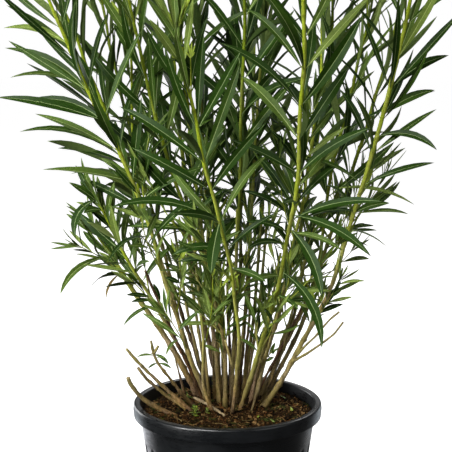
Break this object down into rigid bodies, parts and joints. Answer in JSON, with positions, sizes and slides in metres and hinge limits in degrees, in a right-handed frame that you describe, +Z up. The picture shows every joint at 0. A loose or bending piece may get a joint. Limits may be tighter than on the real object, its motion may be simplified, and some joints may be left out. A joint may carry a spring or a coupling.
{
  "type": "potted oleander",
  "caption": "Evergreen shrub of many upright canes with whorls of long narrow leaves, standing in a round black nursery pot of soil.",
  "frame": {"origin": "middle of the pot's flat underside, on the surface that the pot stands on", "axes": "+Z up along the pot's axis; -Y is the front, the side the picture is taken from; +X is to the right as seen from the front"},
  "size_m": [0.7442, 0.7348, 1.225],
  "materials": {
    "pot_plastic": "semi-gloss black, lightly scuffed",
    "potting_soil": "moist, fibrous and crumbly, matt",
    "bark": "smooth tan bark with leaf scars, turning olive green upwards",
    "dead_bark": "dry grey-brown bark, matt",
    "foliage": "leathery leaves, dark green with a pale midrib, slight sheen",
    "young_foliage": "young leaves, yellow-green, slight sheen"
  },
  "bodies": {
    "root": {"pot": "pot_plastic", "soil": "potting_soil", "cane_back": "bark", "cane_back_left": "bark", "cane_back_right": "bark", "cane_centre": "bark", "cane_centre_back": "bark", "cane_centre_left": "bark", "cane_centre_right": "bark", "cane_dead_left": "dead_bark", "cane_dead_right": "dead_bark", "cane_front_left": "bark", "cane_front_right": "bark", "cane_left_back": "bark", "cane_left_front": "bark", "cane_left_inner": "bark", "cane_left_low": "bark", "cane_left_low_front": "bark", "cane_left_side": "bark", "cane_right": "bark", "cane_right_back": "bark", "cane_right_front": "bark", "cane_stump_back": "bark", "cane_stump_front": "bark", "cane_stump_middle": "bark", "cane_stump_upper": "bark", "cane_thin_back": "bark", "cane_thin_back_right": "bark", "cane_thin_centre": "bark", "cane_thin_left": "bark", "cane_thin_middle": "bark", "cane_thin_right": "bark", "cane_young_front": "bark", "leaves_back": "foliage", "leaves_back_left": "foliage", "leaves_back_right": "foliage", "leaves_centre": "foliage", "leaves_centre_back": "foliage", "leaves_centre_left": "foliage", "leaves_centre_right": "foliage", "leaves_front_left": "foliage", "leaves_front_right": "foliage", "leaves_left_back": "foliage", "leaves_left_front": "foliage", "leaves_left_inner": "foliage", "leaves_left_low": "foliage", "leaves_left_low_front": "foliage", "leaves_left_side": "foliage", "leaves_low_back_left": "young_foliage", "leaves_low_back_right": "young_foliage", "leaves_low_centre": "young_foliage", "leaves_low_front": "young_foliage", "leaves_low_left": "young_foliage", "leaves_low_right": "young_foliage", "leaves_on_stump": "young_foliage", "leaves_right": "foliage", "leaves_right_back": "foliage", "leaves_right_front": "foliage"}
  },
  "joints": []
}
